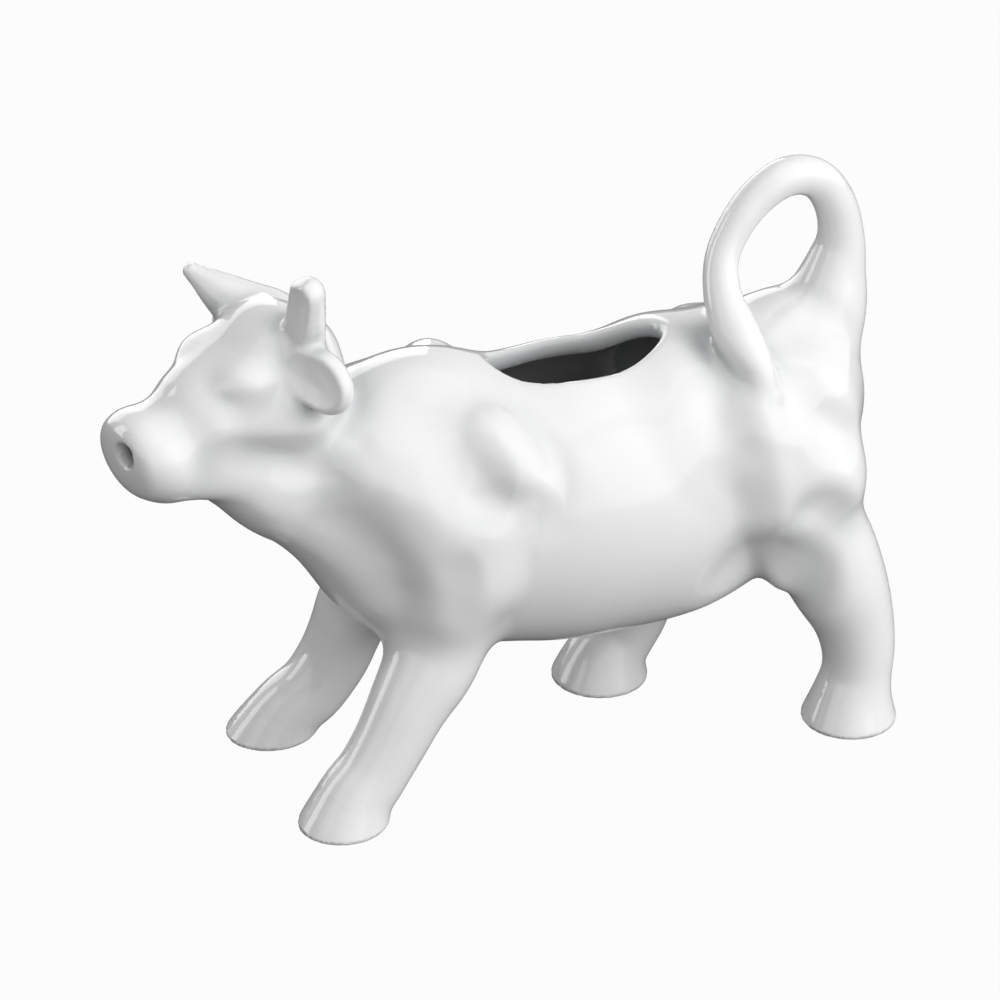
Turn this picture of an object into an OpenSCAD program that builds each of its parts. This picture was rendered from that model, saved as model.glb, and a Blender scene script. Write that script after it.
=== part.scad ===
// Cow creamer in glazed white porcelain.
// A standing cow, cast hollow: it is filled through the opening in its back,
// pours from the hole in its muzzle and is held by its curled tail.
// The head points along -X, the cow's left side along -Y, and the soles stand on Z = 0.

/* [Trunk] */
// Length of the trunk from the brisket to the buttocks
body_length = 120; // [112:1:130]
// Width of the barrel
body_width = 54; // [50:1:60]
// Height of the back over the table
back_height = 86.5; // [83:0.5:91]
// Height of the belly over the table
belly_height = 24.5; // [22:0.5:27]
// Distance of the middle of the trunk behind the middle of the whole
body_shift = 17; // [14:0.5:19]
// Thickness of the cast wall
wall = 4; // [3:0.25:5]

/* [Filling opening] */
// Length of the opening in the back
mouth_length = 36; // [30:1:40]
// Width of the opening in the back
mouth_width = 17; // [14:0.5:20]
// Radius of the rounded edge of the opening
mouth_round = 2.2; // [1.5:0.1:3]

/* [Neck and head] */
// Thickness of the neck where it joins the trunk
neck_d = 44; // [41:0.5:47]
// Thickness of the neck behind the jaw
nape_d = 29; // [27:0.5:31]
// Length of the head from the back of the skull to the muzzle
head_length = 44; // [41:0.5:48]
// Width of the head
head_width = 28; // [26:0.5:30]
// Depth of the head from the forehead to the jaw
head_depth = 27; // [25:0.5:29]
// Distance of the skull's middle ahead of the trunk's middle
head_reach = 63; // [61:0.5:66]
// Height of the skull's middle over the table
head_height = 93.5; // [91:0.5:96]
// Turn of the head to the cow's left
head_turn = 14; // [8:1:18]
// Dip of the nose
head_dip = 20; // [15:1:25]
// Bore of the pouring hole in the muzzle
spout_d = 4.8; // [4:0.2:6]
// Dip of the pouring hole towards the muzzle
spout_dip = 6; // [2:1:12]

/* [Horns and ears] */
// Length of a horn from its root to the middle of its tip
horn_length = 14; // [12:0.5:16]
// Thickness of the right horn at its root
right_horn_d = 11.5; // [10:0.5:13]
// Thickness of the right horn at its tip
right_horn_tip_d = 3.8; // [3.4:0.1:6]
// Thickness of the left horn at its root
left_horn_d = 8.5; // [8:0.25:10]
// Thickness of the left horn at its blunt tip
left_horn_tip_d = 7; // [5:0.1:7.5]
// Length of an ear
ear_length = 15; // [13.5:0.5:17]
// Width of an ear
ear_width = 11.5; // [10.5:0.5:13]
// Thickness of an ear
ear_thickness = 8; // [7:0.25:9]

/* [Legs] */
// Width of a hoof at the sole
hoof_d = 20; // [18.6:0.2:21]
// Thickness of a leg over the hoof
leg_d = 16.4; // [15:0.2:18]
// Distance between the middles of the front soles
front_stance = 37; // [35:0.5:39]
// Distance between the middles of the hind soles
hind_stance = 35; // [33:0.5:37]
// Distance of the left front sole ahead of its shoulder
front_lead = 23.5; // [21:0.5:26]
// How much farther ahead the right front sole is set
right_front_extra = 1.5; // [0:0.5:3]
// Distance of the left hind sole behind its hip
left_hind_push = 11.5; // [8:0.5:14]
// Distance of the right hind sole ahead of its hip
right_hind_step = 26; // [22:0.5:29]
// Depth of the rounding at the edge of a sole
sole_round = 0.8; // [0.4:0.1:1.2]

/* [Tail handle] */
// Thickness of the tail at the top of the loop
tail_d = 7.6; // [6.5:0.1:8.5]
// Rise of the loop's top over the back
tail_rise = 33.5; // [30:0.5:37]
// Length of the loop fore and aft, to the middle of the tail
tail_span = 29.3; // [26:0.5:32]

/* [Hidden] */

porcelain = [0.96, 0.96, 0.95];
// How far a cutting shape runs past what it cuts
overrun = 1;
// How near to the surface a ray has to stop
fine = 0.02;
// How far a limb's blended root stays under the skin that it is luted to
luting = 1.2;

body_depth = back_height - belly_height;
body_size = [body_length, body_width, body_depth];
body_at = [body_shift, 0, (back_height + belly_height) / 2];
head_size = [head_length, head_width, head_depth];
head_side_share = -0.05;
head_at = [body_shift - head_reach, head_side_share * head_width, head_height];

// Swellings that melt into one another.

// Turns about X, then Y, then Z
function turned(a) = let (cx = cos(a.x), sx = sin(a.x), cy = cos(a.y), sy = sin(a.y),
    cz = cos(a.z), sz = sin(a.z))
    [[cz * cy, cz * sy * sx - sz * cx, cz * sy * cx + sz * sx],
    [sz * cy, sz * sy * sx + cz * cx, sz * sy * cx - cz * sx],
    [-sy, cy * sx, cy * cx]];
function flipped(m) = [for (i = [0:2]) [for (j = [0:2]) m[j][i]]];
function across(p) = [p.x, -p.y, p.z];
function scaled(p, s) = [p.x * s.x, p.y * s.y, p.z * s.z];

// A ball swelling: middle, radii, frame of axes, melt, and 1 for clay put on or -1 for clay taken off
function ball(c, r, m, melt, sign = 1) = let (t = flipped(m))
    [0, c, [for (i = [0:2]) t[i] / r[i]], [for (i = [0:2]) t[i] / (r[i] * r[i])], melt, sign];
// A bone swelling: both ends with their radii
function bone(a, b, ra, rb, melt, sign = 1) = [1, a, b - a, [ra, rb - ra, (b - a) * (b - a)], melt, sign];
// Distance of a point from one swelling, below zero inside it
function away(e, p) = e[0] == 0
    ? let (q = p - e[1], n = norm(e[2] * q))
        n * (n - 1) / max(norm(e[3] * q), fine / body_width / body_width)
    : let (q = p - e[1], t = min(max(q * e[2] / e[3].z, 0), 1)) norm(q - t * e[2]) - e[3].x - t * e[3].y;
function melted(a, b, k) = let (h = max(k - abs(a - b), 0)) min(a, b) - h * h / (4 * k);
function carved(a, b, k) = -melted(-a, b, k);
// Distance of a point from all the swellings of a list together
function figure(list, p, i = 1, d = undef) = let (v = is_undef(d) ? away(list[0], p) : d)
    i >= len(list) ? v : let (e = list[i], w = away(e, p))
    figure(list, p, i + 1, e[5] > 0 ? melted(v, w, e[4]) : carved(v, w, e[4]));
// Length of a ray from a point inside to the surface
function cast_ray(f, c, w, r, n = 14) = let (v = f(c + r * w))
    (n == 0 || abs(v) < fine) ? r : cast_ray(f, c, w, max(r - 1.15 * v, fine), n - 1);

// Skins: rays cast from rows of middles.

// A row is a middle, an axis, the tilt of its rays from that axis, and their greatest length
function side_of(d) = let (u = cross([0, 1, 0], d)) u / norm(u);
function ray_way(row, j, n) = let (d = row[1] / norm(row[1]), u = side_of(d), v = cross(d, u),
    a = 360 * j / n) cos(row[2]) * d + sin(row[2]) * (cos(a) * u + sin(a) * v);
function row_points(f, row, n, start) = [for (j = [0:n - 1]) let (w = ray_way(row, j, n))
    row[0] + w * min(cast_ray(f, row[0], w, start), row[3])];
function skin_grid(f, rows, n, start) = [for (r = rows) row_points(f, r, n, start)];
// The triangles of a closed skin, each cell split along its shorter diagonal, with a fan at both ends
function cell(p, a, b, c, d) = norm(p[a] - p[c]) < norm(p[b] - p[d])
    ? [[a, b, c], [a, c, d]] : [[a, b, d], [b, c, d]];
module closed_skin(grid, first, last) {
    m = len(grid);
    n = len(grid[0]);
    points = concat([for (r = grid) each r], [first, last]);
    faces = concat(
        [for (i = [0:m - 2], j = [0:n - 1]) let (a = i * n + j, b = i * n + (j + 1) % n)
            each cell(points, a, a + n, b + n, b)],
        [for (j = [0:n - 1]) [j, (j + 1) % n, m * n]],
        [for (j = [0:n - 1]) let (o = (m - 1) * n) [o + (j + 1) % n, o + j, m * n + 1]]);
    polyhedron(points, faces);
}

// The cow's forms, as shares of the trunk's length, width and depth.
// Each row: middle, radii, turns, melt as a share of the width, put on or taken off
trunk_form_shares = [
    [[0, 0, 0], [0.385, 0.5, 0.5], [0, 0, 0], 0.1, 1],
    [[-0.275, 0, 0.06], [0.205, 0.4, 0.46], [0, 0, 0], 0.22, 1],
    [[-0.27, 0, 0.35], [0.12, 0.2, 0.19], [0, 8, 0], 0.18, 1],
    [[0.29, 0, 0.13], [0.19, 0.41, 0.41], [0, 0, 0], 0.15, 1],
    [[0.18, 0, -0.22], [0.19, 0.34, 0.235], [0, 0, 0], 0.15, 1],
    [[0.17, 0, 0.22], [0.13, 0.4, 0.3], [0, -8, 0], 0.12, 1],
    [[0.41, 0, 0.22], [0.11, 0.28, 0.28], [0, 0, 0], 0.12, 1],
    [[0.385, 0.05, 0.44], [0.085, 0.14, 0.11], [0, -20, 0], 0.1, 1]];
trunk_pair_shares = [
    [[-0.24, 0.27, 0.1], [0.09, 0.19, 0.36], [0, 10, 0], 0.1, 1],
    [[-0.17, 0.33, 0.26], [0.06, 0.14, 0.19], [0, -28, 0], 0.08, 1],
    [[-0.335, 0.26, 0.25], [0.08, 0.15, 0.17], [0, 20, 0], 0.1, 1],
    [[-0.245, 0.32, -0.06], [0.075, 0.16, 0.24], [0, 16, 0], 0.08, 1],
    [[0.285, 0.31, 0.02], [0.065, 0.17, 0.4], [0, -12, 0], 0.07, 1],
    [[0.29, 0.22, 0.32], [0.085, 0.17, 0.13], [0, 0, 0], 0.06, 1],
    [[0.375, 0.22, 0.24], [0.085, 0.18, 0.19], [0, -15, 0], 0.1, 1],
    [[0.385, 0.25, 0.02], [0.085, 0.2, 0.19], [0, -10, 0], 0.1, 1],
    [[-0.25, 0.54, 0.36], [0.06, 0.1, 0.16], [0, -10, 0], 0.12, -1],
    [[0.3, 0.57, -0.2], [0.05, 0.1, 0.09], [0, 0, 0], 0.12, -1]];
// Creases: both ends, the radius and the melt as shares of the width
trunk_crease_shares = [
    [[-0.55, 0.39, 0.36], [-0.46, 0.46, 0.225], 0.09, 0.14],
    [[-0.46, 0.46, 0.225], [-0.39, 0.52, 0.115], 0.09, 0.14],
    [[-0.39, 0.52, 0.115], [-0.315, 0.58, -0.02], 0.09, 0.12],
    [[-0.315, 0.58, -0.02], [-0.3, 0.6, -0.2], 0.09, 0.12],
    [[0.185, 0.43, 0.44], [0.21, 0.57, 0.2], 0.08, 0.14],
    [[0.21, 0.57, 0.2], [0.25, 0.6, -0.14], 0.08, 0.14],
    [[-0.13, 0.43, 0.47], [-0.11, 0.55, 0.31], 0.07, 0.12],
    [[-0.11, 0.55, 0.31], [-0.13, 0.59, 0.16], 0.07, 0.12]];
function trunk_place(p) = body_at + scaled(p, body_size);
function trunk_balls(rows, sides) = [for (r = rows, s = sides) ball(
    trunk_place(s > 0 ? r[0] : across(r[0])), scaled(r[1], body_size), turned(r[2]),
    r[3] * body_width, r[4])];
function creases(rows) = [for (r = rows, s = [1, -1]) bone(
    trunk_place(s > 0 ? r[0] : across(r[0])), trunk_place(s > 0 ? r[1] : across(r[1])),
    r[2] * body_width, r[2] * body_width, r[3] * body_width, -1)];
function put_on(rows) = [for (r = rows) if (r[4] > 0) r];
function taken_off(rows) = [for (r = rows) if (r[4] < 0) r];

// Neck: where it leaves the trunk and where it meets the skull, and the throat under it
neck_root = trunk_place([-0.29, 0, 0.14]);
nape = trunk_place([-0.49, -0.02, 0.29]);
throat_root = trunk_place([-0.32, 0, 0.03]);
throat_end = trunk_place([-0.6, -0.05, 0.33]);
neck = [bone(neck_root, nape, neck_d / 2, nape_d / 2, 0.13 * body_width),
    bone(throat_root, throat_end, neck_d * 0.33, nape_d * 0.27, 0.15 * body_width)];

// The head's forms, as shares of its length, width and depth, along its own axes
head_axes = turned([0, -head_dip, head_turn]);
function head_place(p) = head_at + head_axes * scaled(p, head_size);
head_form_shares = [
    [[0, 0, 0], [0.32, 0.48, 0.48], [0, 0, 0], 0.2, 1],
    [[-0.3, 0, 0.01], [0.34, 0.39, 0.43], [0, -4, 0], 0.2, 1],
    [[-0.64, 0, 0.01], [0.195, 0.38, 0.39], [0, -26, 0], 0.15, 1],
    [[-0.4, 0, -0.22], [0.32, 0.3, 0.26], [0, 0, 0], 0.15, 1],
    [[-0.12, 0, -0.32], [0.28, 0.3, 0.26], [0, 0, 0], 0.15, 1],
    [[0.02, 0, 0.35], [0.16, 0.34, 0.17], [0, 0, 0], 0.1, 1]];
head_pair_shares = [
    [[-0.19, 0.25, 0.27], [0.12, 0.16, 0.12], [0, 0, 0], 0.14, 1],
    [[-0.02, 0.3, -0.16], [0.22, 0.17, 0.2], [0, 0, 0], 0.2, 1],
    [[-0.3, 0.16, -0.4], [0.3, 0.18, 0.14], [0, 18, 0], 0.12, 1],
    [[-0.3, 0.52, 0.2], [0.09, 0.1, 0.1], [0, 0, 0], 0.14, -1],
    [[-0.24, 0.58, -0.42], [0.2, 0.12, 0.08], [0, 30, 0], 0.12, -1]];
function head_balls(rows, sides) = [for (r = rows, s = sides) ball(
    head_place(s > 0 ? r[0] : across(r[0])), scaled(r[1], head_size), head_axes * turned(r[2]),
    r[3] * head_width, r[4])];

plain_trunk = concat(trunk_balls(trunk_form_shares, [1]), neck);
plain_head = head_balls(head_form_shares, [1]);
trunk_forms = concat(plain_trunk, trunk_balls(put_on(trunk_pair_shares), [1, -1]));
trunk_carving = concat(trunk_balls(taken_off(trunk_pair_shares), [1, -1]), creases(trunk_crease_shares));
head_forms = concat(plain_head, head_balls(put_on(head_pair_shares), [1, -1]));
head_carving = head_balls(taken_off(head_pair_shares), [1, -1]);
whole = concat(trunk_forms, head_forms, trunk_carving, head_carving);
skin_field = function (p) figure(whole, p);
trunk_field = function (p) figure(concat(trunk_forms, trunk_carving), p);
hollow_field = function (p) figure(plain_trunk, p) + wall;

// Trunk.

// The neck is luted on along a plane square to this way
seat_pitch = 32;
seat_way = [-cos(seat_pitch), 0, sin(seat_pitch)];
seat_at = trunk_place([-0.4, 0, 0.26]);
// Rays are cast from the line between these two points
fore = trunk_place([-0.3, 0, 0.06]);
aft = trunk_place([0.26, 0, 0.06]);
far = body_length;
trunk_sides = 48;
trunk_ends = 9;
trunk_middles = 22;
function trunk_rows(ends, middles) = concat(
    [for (i = [1:ends]) [fore, [1, 0, 0], 180 - 90 * i / (ends + 1), far]],
    [for (i = [0:middles]) [fore + (aft - fore) * i / middles, [1, 0, 0], 90, far]],
    [for (i = [ends:-1:1]) [aft, [1, 0, 0], 90 * i / (ends + 1), far]]);
trunk_grid = skin_grid(trunk_field, trunk_rows(trunk_ends, trunk_middles), trunk_sides, body_width / 3);
function pole(f, c, w) = c + w * cast_ray(f, c, w, body_width / 3);
module trunk_skin() closed_skin(trunk_grid,
    pole(trunk_field, fore, [-1, 0, 0]), pole(trunk_field, aft, [1, 0, 0]));
hollow_sides = 26;
module trunk_hollow() closed_skin(skin_grid(hollow_field, trunk_rows(5, 9), hollow_sides, body_width / 3),
    pole(hollow_field, fore, [-1, 0, 0]), pole(hollow_field, aft, [1, 0, 0]));

// The filling opening: an oval well whose edge is rounded over the skin of the back
mouth_at = trunk_place([0.005, 0, 0]);
mouth_sides = 48;
// Each edge: a place on the oval, the height of the skin over it, and the way out of the oval there
function mouth_edge(j) = let (a = 360 * j / mouth_sides,
    p = mouth_at + [cos(a) * mouth_length / 2, sin(a) * mouth_width / 2, 0],
    out = [cos(a) * mouth_width, sin(a) * mouth_length, 0])
    [p, pole(trunk_field, p, [0, 0, 1]).z, out / norm(out)];
mouth_edges = [for (j = [0:mouth_sides - 1]) mouth_edge(j)];
// Each step: how far out and how far up from the skin, as shares of the rounding
mouth_step_shares = [[0, -1], [0.08, -0.6], [0.3, -0.28], [0.65, -0.08], [1.3, 0.45]];
module mouth_well() {
    top = back_height + body_depth / 4;
    grid = concat([[for (e = mouth_edges) [e[0].x, e[0].y, body_at.z]]],
        [for (s = mouth_step_shares) [for (e = mouth_edges)
            [e[0].x, e[0].y, e[1] + s[1] * mouth_round] + e[2] * s[0] * mouth_round]],
        [[for (e = mouth_edges) [e[0].x, e[0].y, top] + e[2] * 1.3 * mouth_round]]);
    closed_skin(grid, mouth_at, [mouth_at.x, mouth_at.y, top]);
}

module past_the_seat() translate(seat_at) rotate([0, -90 + seat_pitch, 0])
    translate([-body_depth, -body_width, 0]) cube([2 * body_depth, 2 * body_width, body_length]);

module trunk_shell() {
    color(porcelain) difference() {
        trunk_skin();
        trunk_hollow();
        mouth_well();
        past_the_seat();
    }
}

// Head and neck.

muzzle_at = head_place([-0.6, 0, -0.02]);
skull_at = head_place([0.03, 0, 0.1]);
function bent(t) = (1 - t) * (1 - t) * seat_at + 2 * t * (1 - t) * skull_at + t * t * muzzle_at;
function head_way(t) = let (p = seat_pitch - t * (seat_pitch + head_dip), y = head_turn * t)
    [-cos(p) * cos(y), -cos(p) * sin(y), sin(p)];
function head_rows(steps, ends, last, reach) = concat(
    [for (i = [0:steps]) let (t = last * i / steps) [bent(t), head_way(t), 90, far]],
    [for (i = [1:ends]) [bent(last), head_way(last), 90 - 90 * i / (ends + 1), reach]]);
head_sides = 36;
head_steps = 19;
head_grid = skin_grid(skin_field, head_rows(head_steps, 7, 1, far), head_sides, head_width / 3);
module head_skin() closed_skin(head_grid, seat_at, pole(skin_field, muzzle_at, head_way(1)));
head_hollow_field = function (p) figure(concat(plain_trunk, plain_head), p) + wall;
head_hollow_sides = 22;
module head_hollow() {
    last = 0.6;
    reach = nape_d / 4;
    grid = skin_grid(head_hollow_field, head_rows(9, 3, last, reach), head_hollow_sides, head_width / 4);
    closed_skin(concat([[for (p = grid[0]) p - overrun * seat_way]], grid),
        seat_at - overrun * seat_way, bent(last) + reach * head_way(last));
}
// The pouring hole runs out of the hollow through the muzzle
spout_mouth = head_place([-0.816, -0.09, 0.2]);
spout_reach = head_length * 0.61;
module spout_bore() translate(spout_mouth) rotate([0, 0, head_turn]) rotate([0, -90 - spout_dip, 0])
    translate([0, 0, -spout_reach]) cylinder(d = spout_d, h = spout_reach + head_length / 4, $fn = 64);

module head_shell() {
    color(porcelain) difference() {
        head_skin();
        head_hollow();
        spout_bore();
    }
}

// Legs.

// Each row: drop as a share of the height of the leg's root, the shares of its reach and of its
// way out to the sole, and its radius as shares of leg_d and of hoof_d
left_front_shares = [
    [0, 0, 0, 0.56, 0], [0.22, 0.1, 0.28, 0.57, 0], [0.36, 0.24, 0.5, 0.54, 0],
    [0.5, 0.44, 0.7, 0.47, 0], [0.65, 0.62, 0.84, 0.43, 0], [0.8, 0.82, 0.94, 0.42, 0],
    [0.9, 0.94, 0.98, 0.22, 0.2], [0.985, 1, 1, 0, 0.49]];
right_front_shares = [
    [0, 0, 0, 0.56, 0], [0.22, 0.26, 0.28, 0.53, 0], [0.36, 0.4, 0.5, 0.48, 0],
    [0.5, 0.48, 0.7, 0.44, 0], [0.65, 0.58, 0.84, 0.43, 0], [0.8, 0.76, 0.94, 0.42, 0],
    [0.9, 0.92, 0.98, 0.22, 0.2], [0.985, 1.03, 1, 0, 0.49]];
left_hind_shares = [
    [0, 0, 0, 0.62, 0], [0.2, 0.5, 0.35, 0.64, 0], [0.385, 0.83, 0.6, 0.6, 0],
    [0.54, 1.1, 0.76, 0.5, 0], [0.69, 1.22, 0.88, 0.44, 0], [0.81, 1.18, 0.96, 0.42, 0],
    [0.91, 1.12, 0.99, 0.22, 0.2], [0.985, 1.04, 1, 0, 0.48]];
right_hind_shares = [
    [0, 0, 0, 0.6, 0], [0.3, 0.3, 0.45, 0.58, 0], [0.6, 0.64, 0.75, 0.47, 0],
    [0.74, 0.72, 0.87, 0.42, 0], [0.84, 0.82, 0.95, 0.41, 0],
    [0.92, 0.94, 0.98, 0.2, 0.23], [0.985, 1, 1, 0, 0.49]];
// A smooth curve through points and their radii
function between(a, b, c, d, t) = (2 * b + (c - a) * t + (2 * a - 5 * b + 4 * c - d) * t * t
    + (3 * b - a - 3 * c + d) * t * t * t) / 2;
function smooth_line(k, steps) = let (n = len(k), e = concat([[2 * k[0][0] - k[1][0], k[0][1]]], k,
    [[2 * k[n - 1][0] - k[n - 2][0], k[n - 1][1]]]))
    concat([for (i = [1:n - 1], j = [0:steps - 1]) let (t = j / steps)
        [for (x = [0, 1]) between(e[i - 1][x], e[i][x], e[i + 1][x], e[i + 2][x], t)]],
        [k[n - 1]]);
function leg_chain(shares, root, reach, out) = smooth_line([for (s = shares) [
    root + [reach * s[1], (out - root.y) * s[2], -root.z * s[0]],
    leg_d * s[3] + hoof_d * s[4]]], 3);
leg_melt = 0.4;
function leg_bones(c) = [for (i = [0:len(c) - 2])
    bone(c[i][0], c[i + 1][0], c[i][1], c[i + 1][1], leg_melt)];
// A leg's skin follows its own bones, blended with the trunk just under the trunk's skin
function leg_field(bones) = function (p) melted(figure(bones, p), trunk_field(p) + luting, 0.45 * leg_d);
function chain_at(c, t) = let (u = t * (len(c) - 1), i = min(floor(u), len(c) - 2), f = u - i)
    [c[i][0] * (1 - f) + c[i + 1][0] * f, c[i][1] * (1 - f) + c[i + 1][1] * f];
leg_sides = 22;
leg_rings = 13;
module leg(shares, root, reach, out) {
    chain = leg_chain(shares, root, reach, out);
    sole = [chain[len(chain) - 1][0].x, out, 0];
    f = leg_field(leg_bones(chain));
    way = sole - root;
    rows = concat(
        [for (a = [160, 130, 108]) [root, way, a, 1.3 * chain[0][1]]],
        [for (i = [0:leg_rings]) let (t = i / leg_rings, c = chain_at(chain, t * 0.93), s = t * t)
            [c[0], way * (1 - s) + [0, 0, -root.z] * s, 90, 1.45 * c[1]]],
        [[[sole.x, sole.y, sole_round], [0, 0, -1], 90, hoof_d]]);
    sides = skin_grid(f, rows, leg_sides, leg_d / 2);
    grid = concat(sides, [[for (p = sides[len(sides) - 1])
        sole + ([p.x, p.y, 0] - sole) * (1 - sole_round / hoof_d)]]);
    color(porcelain) difference() {
        closed_skin(grid, root - way * chain[0][1] / norm(way), sole);
        trunk_skin();
    }
}
shoulder_x = trunk_place([-0.255, 0, 0]).x;
shoulder_z = 46;
shoulder_y_share = 0.2;
left_hip_x = trunk_place([0.36, 0, 0]).x;
right_hip_x = trunk_place([0.325, 0, 0]).x;
hip_z = 52;
hip_y_share = 0.19;

// The right hind sole is set a little farther in than the left one
right_hind_out_share = 0.92;

module front_left_leg() leg(left_front_shares, [shoulder_x, -shoulder_y_share * body_width, shoulder_z],
    -front_lead, -front_stance / 2);
module front_right_leg() leg(right_front_shares, [shoulder_x, shoulder_y_share * body_width, shoulder_z],
    -front_lead - right_front_extra, front_stance / 2);
module hind_left_leg() leg(left_hind_shares, [left_hip_x, -hip_y_share * body_width, hip_z],
    left_hind_push, -hind_stance / 2);
module hind_right_leg() leg(right_hind_shares, [right_hip_x, hip_y_share * body_width, hip_z],
    -right_hind_step, right_hind_out_share * hind_stance / 2);

// Horns and ears, luted to the head.

// A round limb swept along points with their radii
limb_sides = 16;
function sweep_grid(points, sides) = [for (i = [0:len(points) - 1])
    let (d = points[min(i + 1, len(points) - 1)][0] - points[max(i - 1, 0)][0], t = d / norm(d),
    u = side_of(t), v = cross(t, u))
    [for (j = [0:sides - 1]) let (a = 360 * j / sides)
        points[i][0] + points[i][1] * (cos(a) * u + sin(a) * v)]];
// Each row: the place along the horn, and its radius from the root's to the tip's
horn_girth_shares = [[-0.3, -0.05], [-0.1, -0.08], [0.1, 0.08], [0.35, 0.36], [0.65, 0.68], [1, 1]];
horn_bend_share = 0.06;
// Each horn: its root, its way, and its thickness at root and tip; the two aren't mirror images
right_horn_make = [[0.1, 0.31, 0.25], [-0.37, 0.61, 0.72], right_horn_d, right_horn_tip_d];
left_horn_make = [[0.09, -0.31, 0.23], [0.25, -0.3, 0.9], left_horn_d, left_horn_tip_d];
module horn_skin(make) {
    at = head_place(make[0]);
    way = make[1];
    root_d = make[2];
    tip_d = make[3];
    run = head_axes * way / norm(way);
    bend = head_axes * [0, 0, horn_length * horn_bend_share];
    points = concat(
        [for (g = horn_girth_shares) [at + run * horn_length * g[0] + bend * g[0] * g[0],
            (root_d * (1 - g[1]) + tip_d * g[1]) / 2]],
        [for (a = [30, 55, 78]) [at + run * (horn_length + sin(a) * tip_d / 2) + bend,
            cos(a) * tip_d / 2]]);
    closed_skin(sweep_grid(points, limb_sides), points[0][0], at + run * (horn_length + tip_d / 2) + bend);
}
module horn(make) color(porcelain) difference() {
    horn_skin(make);
    head_skin();
}
module right_horn() horn(right_horn_make);
module left_horn() horn(left_horn_make);

// An ear is a paddle that hangs outward, hollowed at its front
ear_turns = [38, 40, 24];
ear_root_share = [0.09, 0.3, 0.26];
ear_middle_share = [0.085, 0.54, 0.15];
ear_sides = 18;
module ear(s, horn_make) {
    size = [ear_thickness, ear_length, ear_width];
    axes = head_axes * turned(s < 0 ? ear_turns : [-ear_turns.x, ear_turns.y, -ear_turns.z]);
    root = head_place(s < 0 ? across(ear_root_share) : ear_root_share);
    middle = head_place(s < 0 ? across(ear_middle_share) : ear_middle_share);
    out = axes * [0, s, 0];
    forms = [ball(middle, size / 2, axes, 0),
        bone(root, middle, ear_width * 0.3, ear_width * 0.24, ear_thickness * 0.4),
        ball(middle + axes * scaled([-0.9, s * 0.03, 0], size), scaled([0.65, 0.45, 0.45], size), axes,
            ear_thickness * 0.15, -1)];
    f = function (p) figure(forms, p);
    rows = concat([for (t = [0:0.25:1]) [root * (1 - t) + middle * t, out, 90, far]],
        [for (t = [0.1, 0.2, 0.28]) [middle + out * ear_length * t, out, 90, far]],
        [for (a = [62, 38, 16]) [middle + out * ear_length * 0.28, out, a, far]]);
    color(porcelain) difference() {
        closed_skin(skin_grid(f, rows, ear_sides, ear_thickness / 3), root, pole(f, middle, out));
        head_skin();
        horn_skin(horn_make);
    }
}
module left_ear() ear(-1, left_horn_make);
module right_ear() ear(1, right_horn_make);

// Tail: it rises from the rump, curls over and lies down on the left haunch.

// Each row: place along the loop's span, the trunk's width and the tail's rise, and the radius in tail_d
tail_shares = [
    [0.2, 0.05, -0.62, 0.75], [0.38, 0.055, -0.36, 1], [0.44, 0.055, -0.06, 1.08],
    [0.5, 0.055, 0.18, 0.82], [0.535, 0.05, 0.4, 0.61], [0.475, 0.045, 0.64, 0.54],
    [0.31, 0.03, 0.83, 0.51], [0.05, 0, 0.89, 0.5], [-0.22, -0.02, 0.76, 0.46],
    [-0.43, -0.055, 0.52, 0.43], [-0.495, -0.13, 0.31, 0.48], [-0.46, -0.22, 0.1, 0.6],
    [-0.375, -0.305, -0.075, 0.45], [-0.31, -0.35, -0.21, 0.18]];
tail_at = [trunk_place([0.3625, 0, 0]).x, 0, back_height];
function tail_place(s) = [tail_at + [s[0] * tail_span, s[1] * body_width, s[2] * tail_rise], s[3] * tail_d];
tail_points = smooth_line([for (s = tail_shares) tail_place(s)], 3);
module tail_handle() {
    color(porcelain) difference() {
        closed_skin(sweep_grid(tail_points, limb_sides),
            tail_points[0][0], tail_points[len(tail_points) - 1][0]);
        trunk_skin();
    }
}

trunk_shell();
head_shell();
front_left_leg();
front_right_leg();
hind_left_leg();
hind_right_leg();
left_horn();
right_horn();
left_ear();
right_ear();
tail_handle();
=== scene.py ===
import math

import bpy
import numpy as np
from mathutils import Matrix, Vector


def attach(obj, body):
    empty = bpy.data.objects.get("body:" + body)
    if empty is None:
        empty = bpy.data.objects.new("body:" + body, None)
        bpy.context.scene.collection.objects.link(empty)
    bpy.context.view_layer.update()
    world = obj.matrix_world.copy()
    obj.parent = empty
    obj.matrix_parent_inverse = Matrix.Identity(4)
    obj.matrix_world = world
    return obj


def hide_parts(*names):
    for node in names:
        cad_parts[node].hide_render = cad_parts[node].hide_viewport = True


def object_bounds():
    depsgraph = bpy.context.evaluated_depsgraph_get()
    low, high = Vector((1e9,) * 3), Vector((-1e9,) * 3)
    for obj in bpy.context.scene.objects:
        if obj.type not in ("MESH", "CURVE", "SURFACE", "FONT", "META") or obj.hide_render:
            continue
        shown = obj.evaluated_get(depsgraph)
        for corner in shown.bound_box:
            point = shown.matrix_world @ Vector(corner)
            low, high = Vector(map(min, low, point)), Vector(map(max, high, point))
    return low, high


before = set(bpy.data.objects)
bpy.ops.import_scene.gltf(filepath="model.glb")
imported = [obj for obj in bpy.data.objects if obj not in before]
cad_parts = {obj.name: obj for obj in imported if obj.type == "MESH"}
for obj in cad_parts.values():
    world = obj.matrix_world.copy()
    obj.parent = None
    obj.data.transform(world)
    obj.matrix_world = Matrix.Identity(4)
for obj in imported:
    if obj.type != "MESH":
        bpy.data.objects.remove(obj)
cad_low, cad_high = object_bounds()

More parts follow.
